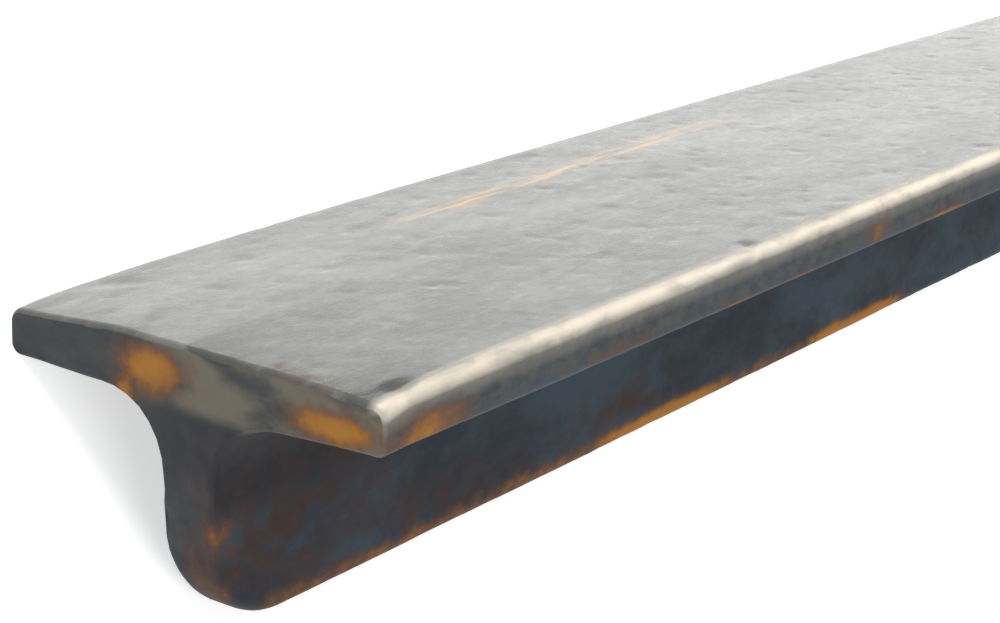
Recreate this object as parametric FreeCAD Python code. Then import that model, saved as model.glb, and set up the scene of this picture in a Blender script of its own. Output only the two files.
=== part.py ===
"""Hot-rolled steel T-bar: one length of stock, sheared at one end and square at the other.

Millimetres, +Z up, length along X.  The bar lies on its side as it comes to rest on a
floor, on one toe of the flange and on the toe of the web.  The origin is on the floor,
under the middle of the bar.
"""
import FreeCAD, Part
import math
import os

# Driving dimensions
length = 1000.0
flange_width = 40.0
height = 25.0  # flange's outer face to the web's toe
flange_thickness = 5.0  # a quarter of the width in from each edge
web_thickness = 5.5  # at half the height
rolling_taper = 0.02  # slope of the flange's inner faces and of the web's sides
root_radius = 7.0  # inside corners between flange and web
outer_edge_radius = 1.3  # long edges of the flange's outer face
inner_edge_radius = 1.0  # long edges of the flange's inner face
web_edge_radius = 1.3  # long edges of the web's toe
sheared_corner_radius = 9.0  # the web's free corner at the sheared end
sheared_edge_radius = 0.5  # drawn over by the shear, all round that end
square_end_chamfer = 0.4  # the saw burr dressed off, all round that end

half_length = length / 2
half_width = flange_width / 2
along = FreeCAD.Vector(1, 0, 0)


def inner_face_z(y):
    """Height of the flange's tapered inner face at a distance y from the middle."""
    return -(flange_thickness + rolling_taper * (flange_width / 4 - abs(y)))


def web_half(z):
    """Half the web's thickness at a height z, which is 0 at the flange's outer face."""
    return web_thickness / 2 + rolling_taper * (z + height / 2)


def root_corner():
    """Where the flange's inner face would meet the web's side with no root fillet."""
    run = height / 2 - flange_thickness - rolling_taper * flange_width / 4
    y = (web_thickness / 2 + rolling_taper * run) / (1 - rolling_taper ** 2)
    return y, inner_face_z(y)


def outline():
    """Corners of the sharp T, flange up: right half from the top down, then the left half."""
    right = [
        (half_width, 0.0),
        (half_width, inner_face_z(half_width)),
        root_corner(),
        (web_half(-height), -height),
    ]
    return right + [(-y, z) for y, z in reversed(right)]


def rolled_length():
    """The bar as it leaves the mill, flange up, with its long edges and roots rounded."""
    corners = [FreeCAD.Vector(-half_length, y, z) for y, z in outline()]
    section = Part.Face(Part.makePolygon(corners + corners[:1]))
    bar = section.extrude(along * length)
    radii = [outer_edge_radius, inner_edge_radius, root_radius, web_edge_radius]
    for (y, z), radius in zip(outline(), radii + radii[::-1]):
        bar = bar.makeFillet(radius, [straight_edge(bar, 0, y, z)])
    return bar


def straight_edge(bar, x, y, z):
    """The straight edge of the bar that has its middle at (x, y, z)."""
    middle = FreeCAD.Vector(x, y, z)
    return next(
        edge for edge in bar.Edges
        if (edge.CenterOfMass - middle).Length < 1e-6
    )


def sheared_corner():
    """What the rounding of the web's free corner takes away at the sheared end."""
    radius = sheared_corner_radius
    reach = flange_width
    block = Part.makeBox(radius, reach, radius, FreeCAD.Vector(-half_length, -reach / 2, -height))
    centre = FreeCAD.Vector(radius - half_length, -reach / 2, radius - height)
    return block.cut(Part.makeCylinder(radius, reach, centre, FreeCAD.Vector(0, 1, 0)))


def cut_length():
    """The rolled length with its sheared end at -X and its dressed square end at +X.

    The section's outline runs smoothly into its roundings, so a fillet or chamfer on
    the edge across the flange's outer face carries on all round that end.  The web's
    corner is rounded off last, as wear on the cut end.
    """
    bar = rolled_length()
    bar = bar.makeFillet(sheared_edge_radius, [straight_edge(bar, -half_length, 0, 0)])
    bar = bar.cut(sheared_corner())
    return bar.makeChamfer(square_end_chamfer, [straight_edge(bar, half_length, 0, 0)])


def lean_angle():
    """Degrees that the bar leans from flange-up until both toes touch the floor.

    Both contacts are rounded corners, so the floor is the line that touches both
    roundings from below.
    """
    flange_y = inner_edge_radius - half_width
    flange_z = inner_face_z(half_width) + inner_edge_radius
    web_y = web_edge_radius - web_half(-height)
    web_z = web_edge_radius - height
    across = web_y - flange_y
    down = flange_z - web_z
    between = math.hypot(across, down)
    line = math.asin((web_edge_radius - inner_edge_radius) / between)
    return math.degrees(math.atan2(down, across) + line)


def laid_down(bar):
    """The bar leaned over onto its toes, on the floor, with its box's middle at y = 0."""
    bar = bar.copy()
    bar.rotate(FreeCAD.Vector(0, 0, 0), along, -lean_angle())
    box = bar.optimalBoundingBox()
    bar.translate(FreeCAD.Vector(0, -(box.YMin + box.YMax) / 2, -box.ZMin))
    return bar


os.makedirs("parts", exist_ok=True)
t_bar = laid_down(cut_length())
t_bar.exportStep("parts/t_bar.step")
print("lean", round(lean_angle(), 3), "volume", round(t_bar.Volume, 1), "valid", t_bar.isValid())
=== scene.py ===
"""Looks of the steel T-bar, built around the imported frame.

The bar's own coordinates are used for its shape and its marks, in millimetres: "along"
runs from the sheared end, "across" is positive on the right as seen from that end, and
"up" is 0 at the flange's outer face and negative down the web.  The bar lies on its
side, so lay_down() turns them into the frame's metres.
"""

import math

import bmesh
import bpy
import numpy as np
from mathutils import Matrix, Vector, noise

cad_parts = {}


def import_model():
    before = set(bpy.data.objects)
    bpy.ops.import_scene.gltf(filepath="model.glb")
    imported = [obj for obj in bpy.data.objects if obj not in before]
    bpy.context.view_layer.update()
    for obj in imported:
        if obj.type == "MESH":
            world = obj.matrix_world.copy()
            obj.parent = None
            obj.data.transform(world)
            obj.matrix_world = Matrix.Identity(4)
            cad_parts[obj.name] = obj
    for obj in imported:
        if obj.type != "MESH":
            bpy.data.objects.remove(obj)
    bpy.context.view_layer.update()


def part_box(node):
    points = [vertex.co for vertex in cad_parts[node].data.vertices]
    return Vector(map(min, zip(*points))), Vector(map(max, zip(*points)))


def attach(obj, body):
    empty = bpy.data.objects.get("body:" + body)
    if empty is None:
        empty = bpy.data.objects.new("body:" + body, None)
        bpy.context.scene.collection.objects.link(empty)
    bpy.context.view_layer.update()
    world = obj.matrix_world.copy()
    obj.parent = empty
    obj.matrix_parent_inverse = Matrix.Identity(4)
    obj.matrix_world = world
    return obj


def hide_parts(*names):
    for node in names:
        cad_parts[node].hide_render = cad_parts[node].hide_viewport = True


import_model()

MM = 0.001
NODE = "t_bar"
SLOT = "mill_scale_steel"

# The rolled section, as in the part's source
FLANGE_WIDTH = 40.0
HEIGHT = 25.0
FLANGE_THICKNESS = 5.0
WEB_THICKNESS = 5.5
TAPER = 0.02
ROOT_RADIUS = 7.0
OUTER_EDGE_RADIUS = 1.3
INNER_EDGE_RADIUS = 1.0
WEB_EDGE_RADIUS = 1.3
SHEARED_CORNER_RADIUS = 9.0
SHEARED_EDGE_RADIUS = 0.5
SQUARE_END_CHAMFER = 0.4

low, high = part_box(NODE)
LENGTH = (high.x - low.x) / MM

# Mesh spacing
FLAT_STEP = 0.7
SIDE_STEP = 1.1
FINE_STEP = 0.6
COARSE_STEP = 3.2
FINE_LENGTH = 200.0
CAP_STEP = 0.6
CAP_OFFSET = 0.37  # share of a step, so that no cut meets the outline's own points
WELD_DISTANCE = 1e-5
STEP_GROWTH = 1.02
LIFT_BLEND = 2.0  # above the rounded corner, where the web's points stop moving
END_FACING = 0.95  # how squarely a face looks along the bar to belong to an end
SAWN_RELIEF = 0.3  # relief of the sawn end, as a share of the sheared end's

# How the shear bent the flange: depth, and how fast it fades along the bar
CORNER_DROOP = 0.9
CORNER_REACH = 22.0
END_DROOP = 0.35
RIGHT_DROOP = 0.4
END_REACH = 3.0
PINCH = 0.65
PINCH_REACH = 5.0


# --- The section's outline ---------------------------------------------------------------

def inner_face(across):
    """Height of the flange's tapered inner face."""
    return -(FLANGE_THICKNESS + TAPER * (FLANGE_WIDTH / 4 - abs(across)))


def web_half(up):
    """Half the web's thickness at a height."""
    return WEB_THICKNESS / 2 + TAPER * (up + HEIGHT / 2)


def half_corners():
    """Sharp corners of the right half, from the top down, with radius and flat step."""
    run = HEIGHT / 2 - FLANGE_THICKNESS - TAPER * FLANGE_WIDTH / 4
    root = (WEB_THICKNESS / 2 + TAPER * run) / (1 - TAPER ** 2)
    edge = FLANGE_WIDTH / 2
    return [
        (edge, 0.0, OUTER_EDGE_RADIUS, 6),
        (edge, inner_face(edge), INNER_EDGE_RADIUS, 4),
        (root, inner_face(root), ROOT_RADIUS, 7),
        (web_half(-HEIGHT), -HEIGHT, WEB_EDGE_RADIUS, 4),
    ]


def rounded_corner(before, corner, after, radius, segments):
    """Points along the arc that rounds a corner."""
    to_before = (before - corner).normalized()
    to_after = (after - corner).normalized()
    half = to_before.angle(to_after) / 2
    centre = corner + (to_before + to_after).normalized() * (radius / math.sin(half))
    start = corner + to_before * (radius / math.tan(half)) - centre
    end = corner + to_after * (radius / math.tan(half)) - centre
    turn = start.angle_signed(end)
    return [
        centre + Matrix.Rotation(-turn * k / segments, 2) @ start
        for k in range(segments + 1)
    ]


def outline():
    """The rounded T as a closed ring of points, clockwise from the top left."""
    right = half_corners()
    corners = right + [(-across, up, r, n) for across, up, r, n in reversed(right)]
    points = [Vector((across, up)) for across, up, _, _ in corners]
    ring = []
    for k, (_, _, radius, segments) in enumerate(corners):
        arc = rounded_corner(
            points[k - 1], points[k], points[(k + 1) % len(points)], radius, segments
        )
        if ring:
            ring += straight(ring[-1], arc[0], SIDE_STEP)
        ring += arc
    return ring + straight(ring[-1], ring[0], FLAT_STEP)


def straight(start, end, step):
    """Points between two others, without either."""
    count = max(1, round((end - start).length / step))
    return [start.lerp(end, k / count) for k in range(1, count)]


def outward(ring):
    """Unit normals of a clockwise ring."""
    normals = []
    for k, point in enumerate(ring):
        tangent = ring[(k + 1) % len(ring)] - ring[k - 1]
        normals.append(Vector((-tangent.y, tangent.x)).normalized())
    return normals


# --- The bar's mesh ----------------------------------------------------------------------

def stations():
    """Distances along the bar at which the mesh has a ring, fine near the sheared end."""
    edge, corner = SHEARED_EDGE_RADIUS, SHEARED_CORNER_RADIUS
    near = [edge * (1 - math.cos(math.radians(t))) for t in range(0, 90, 12)]
    arc = [corner * (1 - math.cos(math.radians(t))) for t in range(20, 90, 5)]
    places = sorted(near + [p for p in arc if p > edge] + [edge])
    while places[-1] < FINE_LENGTH:
        places.append(places[-1] + FINE_STEP)
    step = FINE_STEP
    last = LENGTH - SQUARE_END_CHAMFER
    while places[-1] + 1.5 * step < last:
        step = min(step * STEP_GROWTH, COARSE_STEP)
        places.append(places[-1] + step)
    return places + [last, LENGTH]


def end_inset(along):
    """How far the outline shrinks towards an end's rounding or chamfer."""
    if along < SHEARED_EDGE_RADIUS:
        rise = SHEARED_EDGE_RADIUS - along
        return SHEARED_EDGE_RADIUS - math.sqrt(SHEARED_EDGE_RADIUS ** 2 - rise ** 2)
    return max(0.0, along - (LENGTH - SQUARE_END_CHAMFER))


def toe_lift(along):
    """How far the web's toe is rounded away at the sheared end."""
    if along >= SHEARED_CORNER_RADIUS:
        return 0.0
    rise = SHEARED_CORNER_RADIUS - along
    return SHEARED_CORNER_RADIUS - math.sqrt(SHEARED_CORNER_RADIUS ** 2 - rise ** 2)


def lifted(up, along):
    """A point of the web moved up so that its toe follows the rounded corner."""
    lift = toe_lift(along)
    fixed = -HEIGHT + SHEARED_CORNER_RADIUS + LIFT_BLEND
    toe = -HEIGHT + WEB_EDGE_RADIUS
    share = min(1.0, max(0.0, (fixed - up) / (fixed - toe)))
    return up + lift * share


def smooth(low_edge, high_edge, value):
    """0 below one edge, 1 above the other and a smooth step between."""
    t = min(1.0, max(0.0, (value - low_edge) / (high_edge - low_edge)))
    return t * t * (3 - 2 * t)


def wave(along, across, up, size, seed):
    """Gradient noise from about -1 to 1, with features of a size given for each axis."""
    return noise.noise(
        Vector((along / size[0] + seed, across / size[1] - seed, up / size[2] + 2 * seed))
    )


NICKS = [
    (3.5, 0.28, 1.8), (55.6, 0.22, 1.2), (73.0, 0.10, 1.6), (118.0, 0.15, 1.8),
]  # along the right outer edge: place, depth and half-length


def droop(along, across):
    """How far the shear dragged the outer face down at its end, most at its corners."""
    corner = smooth(6.0, FLANGE_WIDTH / 2, -across)
    right = smooth(10.0, FLANGE_WIDTH / 2, across)
    end = (END_DROOP + RIGHT_DROOP * right) * math.exp(-along / END_REACH)
    return CORNER_DROOP * math.exp(-along / CORNER_REACH) * corner + end


def pinch(along, across, up):
    """How far the shear pressed the flange's toes thinner at its end, from below."""
    toe = smooth(9.0, FLANGE_WIDTH / 2 - 1.0, abs(across))
    under = smooth(-2.0, -FLANGE_THICKNESS + 0.4, up)
    return PINCH * math.exp(-along / PINCH_REACH) * toe * under


def relief(along, across, up):
    """Height of the rolled surface above the true section."""
    calm = 1.0 - 0.65 * smooth(FLANGE_WIDTH / 2 - 3.0, FLANGE_WIDTH / 2 - 1.0, abs(across))
    height = 0.06 * wave(along, across, up, (38.0, 13.0, 13.0), 3.1)
    height += 0.025 * wave(along, across, up, (9.0, 4.0, 4.0), 8.7)
    plates = wave(along, across, up, (5.5, 2.4, 2.4), 15.3)
    height -= 0.03 * smooth(0.12, 0.3, plates)
    height += 0.012 * wave(along, across, up, (1.6, 1.1, 1.1), 21.9)
    pits = wave(along, across, up, (2.6, 1.6, 1.6), 33.3)
    height -= 0.09 * smooth(0.45, 0.62, pits)
    height *= calm
    if across > FLANGE_WIDTH / 2 - 2.5 and up > -2.0:
        for place, depth, reach in NICKS:
            height -= depth * math.exp(-((along - place) / reach) ** 2)
    return height


def bar_mesh():
    """The whole bar in its own coordinates, as a closed bmesh, with its two end faces."""
    bm = bmesh.new()
    own = bm.verts.layers.float_vector.new("bar")
    ring = outline()
    normals = outward(ring)
    rings = []
    for along in stations():
        inset = end_inset(along)
        verts = []
        for point, normal in zip(ring, normals):
            across, up = point - normal * inset
            up = lifted(up, along)
            rise = relief(along, across, up)
            sink = droop(along, across) * smooth(-9.0, -4.0, up)
            height = up + normal.y * rise - sink + pinch(along, across, up)
            place = (along, across + normal.x * rise, height)
            vert = bm.verts.new(place)
            vert[own] = (along, across, up)
            verts.append(vert)
        rings.append(verts)
    count = len(ring)
    for this, following in zip(rings, rings[1:]):
        for k in range(count):
            bm.faces.new((this[k - 1], this[k], following[k], following[k - 1]))
    sheared = bm.faces.new(rings[0][::-1])
    square = bm.faces.new(rings[-1])
    for face in (sheared, square):
        divide(bm, face)
    bm.normal_update()
    return bm, own


def divide(bm, face):
    """Cuts an end face into a grid, so that it can carry relief."""
    faces = [face]
    for axis, reach in ((1, FLANGE_WIDTH / 2), (2, HEIGHT)):
        count = int(reach / CAP_STEP)
        for k in range(-count, count + 1):
            middle = Vector((0, 0, 0))
            middle[axis] = (k + CAP_OFFSET) * CAP_STEP
            normal = Vector((0, 0, 0))
            normal[axis] = 1
            parts = set(faces)
            for piece in faces:
                parts.update(piece.edges)
                parts.update(piece.verts)
            done = bmesh.ops.bisect_plane(
                bm, geom=list(parts), dist=WELD_DISTANCE, plane_co=middle, plane_no=normal
            )
            faces = list({g for g in done["geom"] if isinstance(g, bmesh.types.BMFace)})


def end_relief(along, across, up):
    """Depth of the cut face: drawn streaks under the outer face, then a torn surface."""
    drawn = wave(across, 0.0, up, (0.8, 9.0, 9.0), 41.0)
    torn = wave(along, across, up, (3.0, 1.5, 1.5), 47.0)
    torn += 0.5 * wave(along, across, up, (1.0, 0.7, 0.7), 53.0)
    share = smooth(1.8, 3.2, -up)
    return 0.05 * drawn * (1 - share) + 0.16 * torn * share


def rough_ends(bm, own):
    """Moves the inner points of both end faces along the bar."""
    for vert in bm.verts:
        ends = all(abs(face.normal.x) > END_FACING for face in vert.link_faces)
        if not ends:
            continue
        along, across, up = vert.co
        vert[own] = (along, across, up)
        depth = end_relief(along, across, up)
        vert.co.x += depth if along < LENGTH / 2 else SAWN_RELIEF * min(0.0, depth)


def lay_down():
    """The matrix from the bar's own millimetres to the frame's metres."""
    lean = lean_angle()
    turn = Matrix.Rotation(-lean, 4, "X")
    upright = Matrix(((1, 0, 0, -LENGTH / 2), (0, -1, 0, 0), (0, 0, 1, 0), (0, 0, 0, 1)))
    section = [turn @ upright @ Vector((0, p.x, p.y)) for p in outline()]
    ys = [p.y for p in section]
    zs = [p.z for p in section]
    shift = Matrix.Translation((0, -(min(ys) + max(ys)) / 2, -min(zs)))
    return Matrix.Scale(MM, 4) @ shift @ turn @ upright


def lean_angle():
    """How far the bar leans over from flange-up until both toes touch the floor."""
    flange = Vector((INNER_EDGE_RADIUS - FLANGE_WIDTH / 2,
                     inner_face(FLANGE_WIDTH / 2) + INNER_EDGE_RADIUS))
    web = Vector((WEB_EDGE_RADIUS - web_half(-HEIGHT), WEB_EDGE_RADIUS - HEIGHT))
    across, down = web.x - flange.x, flange.y - web.y
    line = math.asin((WEB_EDGE_RADIUS - INNER_EDGE_RADIUS) / math.hypot(across, down))
    return math.atan2(down, across) + line


def build_bar(to_frame):
    """The bar as one object that stands for the CAD node."""
    bm, own = bar_mesh()
    rough_ends(bm, own)
    bmesh.ops.transform(bm, matrix=to_frame, verts=bm.verts)
    bmesh.ops.recalc_face_normals(bm, faces=bm.faces)
    mesh = bpy.data.meshes.new("rolled_bar")
    bm.to_mesh(mesh)
    bm.free()
    mesh.shade_smooth()
    bar = bpy.data.objects.new("rolled_bar", mesh)
    bpy.context.scene.collection.objects.link(bar)
    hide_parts(NODE)
    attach(bar, "root")
    return bar


# --- Materials ---------------------------------------------------------------------------

class Nodes:
    """Short ways to add and join shader nodes."""

    def __init__(self, tree):
        self.tree = tree

    def new(self, kind, **settings):
        node = self.tree.nodes.new(kind)
        for name, value in settings.items():
            setattr(node, name, value)
        return node

    def join(self, source, target):
        if hasattr(source, "links"):
            self.tree.links.new(source, target)
        else:
            target.default_value = source

    def math(self, operation, a, b=0.0):
        node = self.new("ShaderNodeMath", operation=operation)
        self.join(a, node.inputs[0])
        self.join(b, node.inputs[1])
        return node.outputs[0]

    def mix(self, share, a, b):
        node = self.new("ShaderNodeMix", data_type="RGBA")
        self.join(share, node.inputs["Factor"])
        self.join(a, node.inputs[6])
        self.join(b, node.inputs[7])
        return node.outputs[2]

    def mix_value(self, share, a, b):
        node = self.new("ShaderNodeMix", data_type="FLOAT")
        self.join(share, node.inputs["Factor"])
        self.join(a, node.inputs[2])
        self.join(b, node.inputs[3])
        return node.outputs[0]

    def step(self, value, start, end, low_value=0.0, high_value=1.0):
        node = self.new("ShaderNodeMapRange", interpolation_type="SMOOTHSTEP")
        self.join(value, node.inputs["Value"])
        for name, number in (
            ("From Min", start), ("From Max", end), ("To Min", low_value), ("To Max", high_value),
        ):
            self.join(number, node.inputs[name])
        return node.outputs["Result"]

    def noise(self, vector, size, detail=3.0, roughness=0.55):
        """Noise in the bar's millimetres, with features of a size given for each axis."""
        scale = self.new("ShaderNodeVectorMath", operation="DIVIDE")
        self.join(vector, scale.inputs[0])
        scale.inputs[1].default_value = size
        node = self.new("ShaderNodeTexNoise")
        self.join(scale.outputs[0], node.inputs["Vector"])
        node.inputs["Scale"].default_value = 1.0
        node.inputs["Detail"].default_value = detail
        node.inputs["Roughness"].default_value = roughness
        return node.outputs["Fac"]


def colour(red, green, blue):
    return (red, green, blue, 1.0)


# Nearly black: dark scale, and painted shade under the flange's end and over the cut face's root.
SCALE_AND_SHADE_BLACK = colour(0.003, 0.004, 0.008)
SCALE_DARK = colour(0.008, 0.017, 0.027)
SCALE_GREY = colour(0.030, 0.052, 0.074)
TOE_GREY = colour(0.078, 0.080, 0.078)
CUT_DARK = colour(0.014, 0.021, 0.025)
CUT_GREY = colour(0.030, 0.035, 0.036)
CUT_OLIVE = colour(0.140, 0.125, 0.090)
FACE_GREY = colour(0.072, 0.075, 0.070)
FACE_PALE = colour(0.165, 0.165, 0.152)
FACE_BRIGHT = colour(0.46, 0.44, 0.36)
FACE_PIT = colour(0.050, 0.048, 0.042)
# Partly bare steel on the worn edge, partly a painted highlight.
WORN_EDGE_HIGHLIGHT = colour(0.66, 0.59, 0.50)
RUST_ORANGE = colour(0.42, 0.175, 0.024)
RUST_BROWN = colour(0.16, 0.062, 0.024)
STREAK = colour(0.60, 0.35, 0.13)
STAIN = colour(0.040, 0.014, 0.010)

SCALE_ROUGHNESS = 0.74
FACE_ROUGHNESS = 0.20
CUT_ROUGHNESS = 0.66
WORN_ROUGHNESS = 0.55
RUST_ROUGHNESS = 0.85
GRAIN_ROUGHNESS = 0.25  # how much the grain varies it
WORN_METAL = 0.25
SCALE_IOR = 1.5
BUMP_STRENGTH = 0.45
BUMP_DEPTH = 0.10 * MM


def steel():
    """Hot-rolled steel: blue-grey mill scale, a rubbed outer face, a worn edge with a painted
    highlight, and rust.
    """
    material = bpy.data.materials.new(SLOT)
    material.use_nodes = True
    tree = material.node_tree
    shader = tree.nodes["Principled BSDF"]
    n = Nodes(tree)
    bar = n.new("ShaderNodeAttribute", attribute_name="bar").outputs["Vector"]
    parts = n.new("ShaderNodeSeparateXYZ")
    n.join(bar, parts.inputs[0])
    along, across, up = parts.outputs

    mottle = n.noise(bar, (16.0, 8.0, 8.0), 5.0, 0.6)
    grain = n.noise(bar, (1.7, 1.2, 1.2), 4.0, 0.65)
    fine = n.noise(bar, (0.5, 0.4, 0.4), 2.0, 0.6)

    cut = n.step(along, 0.5, 0.1)
    face = n.step(up, -1.0, -0.2)
    base = scale_colour(n, along, across, up, mottle, grain)
    base = n.mix(cut, base, cut_colour(n, bar, across, up))
    base = n.mix(face, base, face_colour(n, bar, along, across, mottle, grain))

    stain = n.new("ShaderNodeAttribute", attribute_name="stain").outputs["Fac"]
    patchy = n.step(n.noise(bar, (3.5, 3.0, 3.0), 4.0), 0.32, 0.62)
    base = n.mix(n.math("MULTIPLY", stain, patchy), base, STAIN)

    streaked = n.new("ShaderNodeAttribute", attribute_name="streak").outputs["Fac"]
    broken = n.step(n.noise(bar, (9.0, 1.0, 1.0), 3.0), 0.35, 0.65)
    base = n.mix(n.math("MULTIPLY", streaked, broken), base, STREAK)

    # Painted highlight: the right outer edge is painted near-white, partly as scale rubbed off and
    # partly as the highlight along its rounding.
    worn_highlight = n.new("ShaderNodeAttribute", attribute_name="worn_highlight").outputs["Fac"]
    worn_highlight = n.math("MULTIPLY", worn_highlight, n.step(n.noise(bar, (5.0, 2.0, 2.0), 4.0), 0.28, 0.6, 0.55, 1.0))
    base = n.mix(worn_highlight, base, WORN_EDGE_HIGHLIGHT)

    rust = n.new("ShaderNodeAttribute", attribute_name="rust").outputs["Fac"]
    crust = n.noise(bar, (1.8, 1.5, 1.5), 5.0, 0.6)
    ragged = n.math("MULTIPLY", n.math("SUBTRACT", crust, 0.5), 0.9)
    rusted = n.step(n.math("ADD", rust, ragged), 0.12, 0.75)
    tone = n.math("ADD", n.math("MULTIPLY", rust, 0.75), n.math("MULTIPLY", crust, 0.5))
    base = n.mix(rusted, base, n.mix(n.step(tone, 0.5, 1.0), RUST_BROWN, RUST_ORANGE))
    n.join(base, shader.inputs["Base Color"])

    rough = n.mix_value(face, SCALE_ROUGHNESS, FACE_ROUGHNESS)
    uneven = n.math("MULTIPLY", n.math("SUBTRACT", grain, 0.5), GRAIN_ROUGHNESS)
    rough = n.math("ADD", rough, uneven)
    rough = n.mix_value(cut, rough, CUT_ROUGHNESS)
    rough = n.mix_value(worn_highlight, rough, WORN_ROUGHNESS)
    rough = n.mix_value(rusted, rough, RUST_ROUGHNESS)
    n.join(rough, shader.inputs["Roughness"])
    n.join(n.math("MULTIPLY", worn_highlight, WORN_METAL), shader.inputs["Metallic"])
    shader.inputs["IOR"].default_value = SCALE_IOR

    bump = n.new("ShaderNodeBump")
    bump.inputs["Strength"].default_value = BUMP_STRENGTH
    bump.inputs["Distance"].default_value = BUMP_DEPTH
    height = n.math("ADD", n.math("MULTIPLY", grain, 0.7), n.math("MULTIPLY", fine, 0.35))
    height = n.math("ADD", height, n.math("MULTIPLY", rusted, 0.4))
    n.join(height, bump.inputs["Height"])
    n.join(bump.outputs["Normal"], shader.inputs["Normal"])
    return material


def scale_colour(n, along, across, up, mottle, grain):
    """Mill scale: blue-grey, paler on the toes, and nearly black under the flange's end, partly dark
    scale and partly painted shade.
    """
    scale = n.mix(n.step(mottle, 0.35, 0.65), SCALE_DARK, SCALE_GREY)
    toe = n.step(n.math("ABSOLUTE", across), 18.9, 19.7)
    toe = n.math("MULTIPLY", toe, n.step(up, -4.9, -3.4, 0.15, 1.0))
    scale = n.mix(n.math("MULTIPLY", toe, n.step(grain, 0.2, 0.7)), scale, TOE_GREY)
    # Painted shade: the web just under the flange's end is painted nearly black, partly as dark
    # scale and partly as the shade under the flange.
    near = n.math("MULTIPLY", n.step(along, 46.0, 12.0), n.step(up, -18.0, -11.0))
    under = n.math("MULTIPLY", near, n.step(n.math("ABSOLUTE", across), 18.0, 14.0))
    return n.mix(under, scale, SCALE_AND_SHADE_BLACK)


def cut_colour(n, bar, across, up):
    """The sheared face: dark grey, olive in the middle and right of the flange, and painted shade,
    nearly black, over the web's root.
    """
    patches = n.step(n.noise(bar, (3.0, 4.0, 2.0), 3.0), 0.36, 0.68)
    torn = n.mix(patches, CUT_DARK, CUT_GREY)
    # Painted shade: the cut face over the web's root, under the flange, is painted nearly black as
    # the shade of a recess.
    root = n.math("MULTIPLY", n.step(up, -5.4, -6.6), n.step(up, -14.0, -9.0))
    root = n.math("MULTIPLY", root, n.step(across, -5.0, -1.0))
    torn = n.mix(root, torn, SCALE_AND_SHADE_BLACK)
    flange = n.math("MULTIPLY", n.step(across, -9.0, 2.0), n.step(up, -6.2, -5.0))
    olive = n.math("MULTIPLY", flange, n.step(n.noise(bar, (4.0, 6.0, 3.0), 3.0), 0.3, 0.6))
    return n.mix(olive, torn, CUT_OLIVE)


def face_colour(n, bar, along, across, mottle, grain):
    """The outer face: scale rubbed to a mottled grey, with duller blotches and pits."""
    broad = n.noise(bar, (70.0, 22.0, 22.0), 3.0, 0.5)
    shade = n.math("ADD", mottle, n.math("MULTIPLY", broad, 0.7))
    rubbed = n.mix(n.step(shade, 0.65, 1.1), FACE_GREY, FACE_PALE)
    flecks = n.step(n.noise(bar, (3.0, 1.6, 1.6), 5.0, 0.7), 0.48, 0.78)
    rubbed = n.mix(n.math("MULTIPLY", flecks, 0.3), rubbed, FACE_BRIGHT)
    blotch = n.step(n.noise(bar, (9.0, 4.5, 4.5), 6.0, 0.72), 0.54, 0.30)
    rubbed = n.mix(n.math("MULTIPLY", blotch, 0.8), rubbed, FACE_PIT)
    # Darker near the sheared end, left of the middle, in a mottled patch.
    darker_near_end = n.math("MULTIPLY", n.step(along, 32.0, 3.0, 0.0, 0.45), n.step(across, -15.0, -5.0))
    rubbed = n.mix(n.math("MULTIPLY", darker_near_end, n.step(mottle, 0.62, 0.38)), rubbed, FACE_PIT)
    specks = n.math("ADD", n.math("MULTIPLY", grain, 0.7), n.math("MULTIPLY", mottle, 0.5))
    return n.mix(n.step(specks, 0.5, 0.4), rubbed, FACE_PIT)


# Rust patches: along, across, up, then their reach in each direction and their strength
RUST_PATCHES = [
    (0.0, -3.8, -3.0, 2.0, 4.0, 2.2, 1.0),
    (0.0, -6.6, -5.8, 2.0, 1.8, 2.2, 0.75),
    (0.0, 15.2, -3.4, 2.0, 5.0, 1.5, 1.0),
    (0.0, 3.1, -16.0, 4.0, 1.8, 2.4, 0.55),
    (0.0, 0.3, -18.2, 3.0, 1.0, 1.2, 0.4),
    (0.0, 0.7, -11.2, 3.0, 1.0, 1.4, 0.3),
    (0.0, 0.5, -22.0, 6.0, 3.0, 3.0, 0.5),
    (5.0, 20.0, -3.6, 6.0, 2.0, 2.0, 0.75),
    (1.0, 11.0, -0.5, 1.6, 7.0, 1.0, 0.38),
    (33.0, 20.0, -3.9, 9.0, 2.0, 1.2, 0.35),
    (79.7, 20.0, -2.9, 3.0, 2.0, 2.0, 0.6),
    (51.9, 20.0, -4.8, 5.0, 2.0, 0.8, 0.7),
    (64.2, 20.0, -4.8, 5.0, 2.0, 0.8, 0.7),
    (95.4, 20.0, -4.5, 9.0, 2.0, 0.8, 0.7),
]


def rust_share(along, across, up):
    """How rusted the bar is at a point, from 0 to 1."""
    share = 0.0
    for x, y, z, reach_x, reach_y, reach_z, strength in RUST_PATCHES:
        spread = ((along - x) / reach_x) ** 2 + ((across - y) / reach_y) ** 2
        spread += ((up - z) / reach_z) ** 2
        share = max(share, strength * math.exp(-spread))
    return max(share, toe_rust(along, across, up))


# Rusted stretches of the web's toe: middle and half-length
TOE_RUST = [
    (69.0, 15.0), (112.0, 14.0), (196.0, 26.0), (301.0, 40.0),
    (428.0, 22.0), (560.0, 55.0), (712.0, 30.0), (845.0, 48.0), (958.0, 20.0),
]


def toe_rust(along, across, up):
    """The rusted line along the right edge of the web's toe."""
    if up > -HEIGHT + 6.0 + toe_lift(along):
        return 0.0
    rise = up + HEIGHT - toe_lift(along)
    near = (1 - smooth(1.0, 3.0, rise)) * smooth(-2.5, 0.5, across)
    bright = max(math.exp(-((along - place) / reach) ** 4) for place, reach in TOE_RUST)
    return near * max(0.5 * (1 - smooth(118.0, 132.0, along)), bright) * smooth(0.2, 9.0, along)


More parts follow.
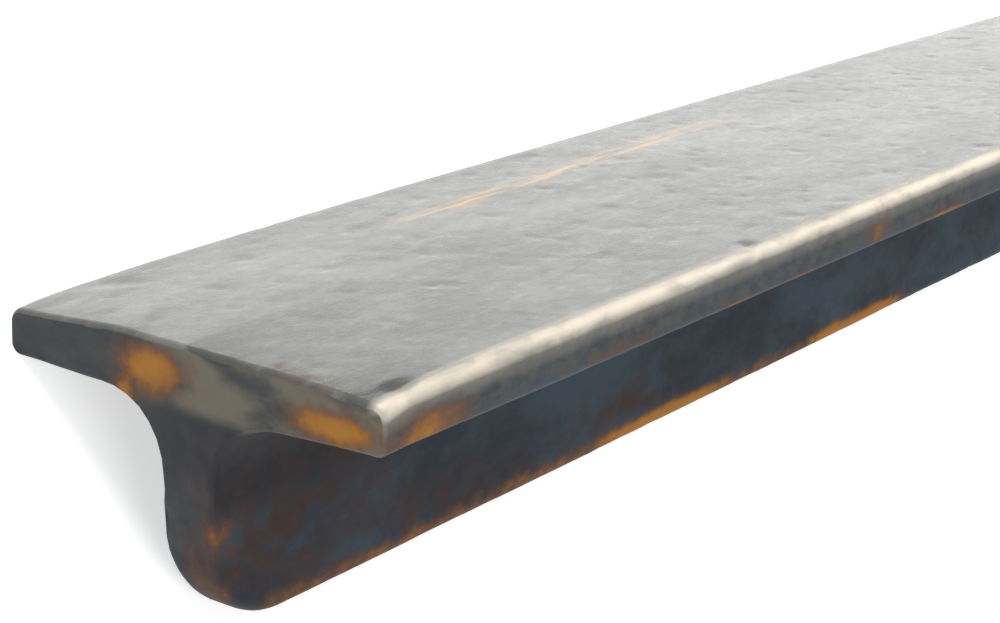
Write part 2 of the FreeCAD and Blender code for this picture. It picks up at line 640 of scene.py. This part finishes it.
def streak(along, across, up):
    """The faint rust streak on the outer face, left of its middle."""
    line = -10.2 - 0.025 * (along - 40.0)
    near = math.exp(-((across - line) / 1.1) ** 2)
    ends = smooth(34.0, 50.0, along) * (1 - smooth(90.0, 112.0, along))
    return 0.85 * near * ends * smooth(-1.0, -0.3, up)


def worn_highlight_share(along, across, up):
    """How far the right outer edge is rubbed bare and painted bright as a highlight, from 0 to 1."""
    edge = FLANGE_WIDTH / 2 - OUTER_EDGE_RADIUS
    return smooth(edge - 0.5, edge + 0.4, across) * smooth(-1.6, -0.7, up)


# Dark brown stains on the web: along, up, then their reach in each direction
STAINS = [(9.0, -18.0, 14.0, 7.0), (26.0, -22.5, 18.0, 3.2), (61.0, -21.0, 9.0, 2.5)]


def stain_share(along, across, up):
    """How stained the web's right side is at a point, from 0 to 1."""
    if across < 0 or up > -7.0:
        return 0.0
    return max(
        math.exp(-((along - x) / reach_x) ** 2 - ((up - z) / reach_z) ** 2)
        for x, z, reach_x, reach_z in STAINS
    )


def mark(bar):
    """Writes the rust, the wear and the painted edge highlight of each point of the bar onto its
    mesh.
    """
    mesh = bar.data
    own = np.zeros(len(mesh.vertices) * 3)
    mesh.attributes["bar"].data.foreach_get("vector", own)
    for name, share in (
        ("rust", rust_share), ("worn_highlight", worn_highlight_share), ("stain", stain_share), ("streak", streak),
    ):
        layer = mesh.attributes.new(name, "FLOAT", "POINT")
        values = [share(*point) for point in own.reshape(-1, 3)]
        layer.data.foreach_set("value", values)


# --- Floor, light and camera -------------------------------------------------------------

FLOOR_SIZE = 30.0
FLOOR_COLOUR = colour(0.86, 0.86, 0.85)
FLOOR_ROUGHNESS = 0.9
FLOOR_SPECULAR = 0.1
FLOOR_GLOW = 0.6  # seen by the camera and in reflections only
SKY_COLOUR = colour(0.93, 0.97, 1.0)
SKY_STRENGTH = 0.36
WARM = (1.0, 0.95, 0.86)
WHITE = (1.0, 1.0, 1.0)

# Softboxes: name, place, target, width, height, watts and tint
SOFTBOXES = [
    ("key", (-0.2, 2.2, 2.0), (-0.2, 0, 0), 2.4, 1.6, 72.0, WHITE),
    ("far_rim", (2.6, 0.7, 1.6), (-0.3, 0, 0), 2.0, 1.4, 46.0, WARM),
    ("fill", (-1.3, -2.0, 2.2), (-0.3, 0, 0), 2.0, 1.4, 38.0, WHITE),
]


def floor():
    """The plain pale floor, which keeps the bar's shadow."""
    bpy.ops.mesh.primitive_plane_add(size=FLOOR_SIZE, location=(0, 0, low.z))
    plane = bpy.context.object
    plane.name = "floor"
    material = bpy.data.materials.new("floor")
    material.use_nodes = True
    tree = material.node_tree
    n = Nodes(tree)
    shader = tree.nodes["Principled BSDF"]
    shader.inputs["Base Color"].default_value = FLOOR_COLOUR
    shader.inputs["Roughness"].default_value = FLOOR_ROUGHNESS
    shader.inputs["Specular IOR Level"].default_value = FLOOR_SPECULAR
    path = n.new("ShaderNodeLightPath")
    seen = n.math("MAXIMUM", path.outputs["Is Camera Ray"], path.outputs["Is Glossy Ray"])
    seen = n.math("MAXIMUM", seen, path.outputs["Is Transmission Ray"])
    shader.inputs["Emission Color"].default_value = colour(1, 1, 1)
    n.join(n.math("MULTIPLY", seen, FLOOR_GLOW), shader.inputs["Emission Strength"])
    plane.data.materials.append(material)


def softbox(name, place, target, width, height, power, tint):
    light = bpy.data.lights.new(name, "AREA")
    light.color = tint
    light.shape = "RECTANGLE"
    light.size = width
    light.size_y = height
    light.energy = power
    lamp = bpy.data.objects.new(name, light)
    lamp.location = place
    aim = Vector(target) - Vector(place)
    lamp.rotation_euler = aim.to_track_quat("-Z", "Y").to_euler()
    bpy.context.scene.collection.objects.link(lamp)


def world(strength):
    studio = bpy.data.worlds.new("studio")
    studio.use_nodes = True
    sky = studio.node_tree.nodes["Background"]
    sky.inputs["Color"].default_value = SKY_COLOUR
    sky.inputs["Strength"].default_value = strength
    bpy.context.scene.world = studio


CAMERA_AT = (113.72, -118.53, 53.95)  # right of the bar, in front of its end, above it
CAMERA_RIGHT = (0.8094, 0.5863, 0.0346)
CAMERA_DOWN = (0.2010, -0.2211, -0.9543)
LENS = 79.46


def camera(to_frame):
    """The photograph's viewpoint, given in the bar's own coordinates."""
    def own(right, forward, up):
        return Vector((forward, right, up))
    turn = to_frame.to_3x3()
    side = (turn @ own(*CAMERA_RIGHT)).normalized()
    down = (turn @ own(*CAMERA_DOWN)).normalized()
    back = side.cross(-down).normalized()
    data = bpy.data.cameras.new("camera")
    data.lens = LENS
    data.sensor_width = 36.0
    data.clip_start = 0.005
    view = bpy.data.objects.new("camera", data)
    rotation = Matrix((side, -down, back)).transposed().to_4x4()
    view.matrix_world = Matrix.Translation(to_frame @ own(*CAMERA_AT)) @ rotation
    bpy.context.scene.collection.objects.link(view)
    bpy.context.scene.camera = view


to_frame = lay_down()
bar = build_bar(to_frame)
mark(bar)
bar.data.materials.append(steel())
floor()
for lamp_facts in SOFTBOXES:
    softbox(*lamp_facts)
world(SKY_STRENGTH)
camera(to_frame)
bpy.context.scene.view_settings.view_transform = "Standard"
print("triangles", sum(len(p.vertices) - 2 for p in bar.data.polygons))
